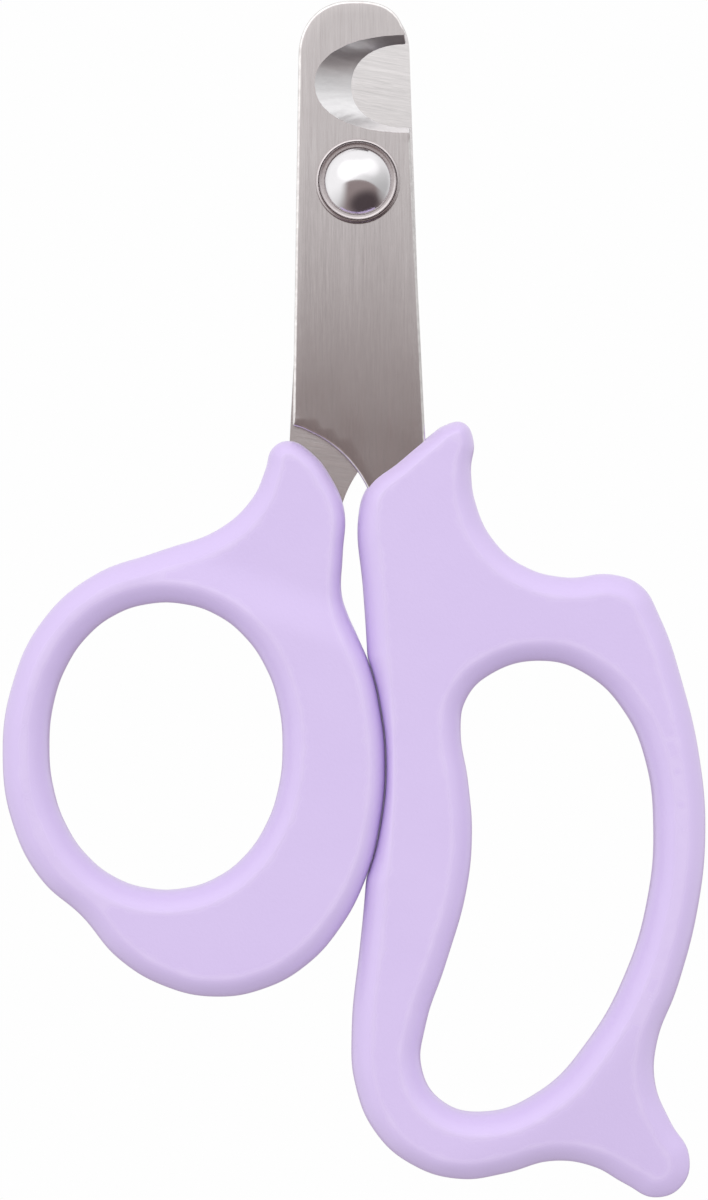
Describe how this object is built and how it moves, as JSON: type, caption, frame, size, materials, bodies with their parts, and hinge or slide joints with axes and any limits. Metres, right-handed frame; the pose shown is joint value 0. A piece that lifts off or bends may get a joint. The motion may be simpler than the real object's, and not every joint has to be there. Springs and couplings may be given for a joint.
{
  "type": "claw clipper",
  "caption": "Scissor-action pet claw clipper: two notched steel blades on a domed rivet, with moulded plastic handles, one with a round thumb loop and one with a long finger loop.",
  "frame": {"origin": "centre of the rivet's flat back, on the pivot axis, level with the backs of both handles", "axes": "+Y along the blades to the tip, +Z along the rivet to its dome, +X to the right seen from the dome's side"},
  "size_m": [0.0744, 0.1266, 0.008],
  "materials": {
    "blade_steel": "stainless steel brushed along the blade, ground bright in the notches",
    "handle_plastic": "satin moulded plastic, pale lilac",
    "rivet_chrome": "polished"
  },
  "bodies": {
    "finger_side": {"front_blade": "blade_steel", "finger_handle": "handle_plastic", "rivet_dome": "rivet_chrome", "rivet_socket": "rivet_chrome", "cup_washer": "rivet_chrome", "back_washer": "rivet_chrome"},
    "thumb_side": {"rear_blade": "blade_steel", "thumb_handle": "handle_plastic"}
  },
  "joints": [
    {"name": "blade_pivot", "type": "hinge", "parent": "finger_side", "child": "thumb_side", "pos_m": [0, 0, 0.0037], "axis": [0, 0, -1], "range_deg": [0, 60]}
  ]
}
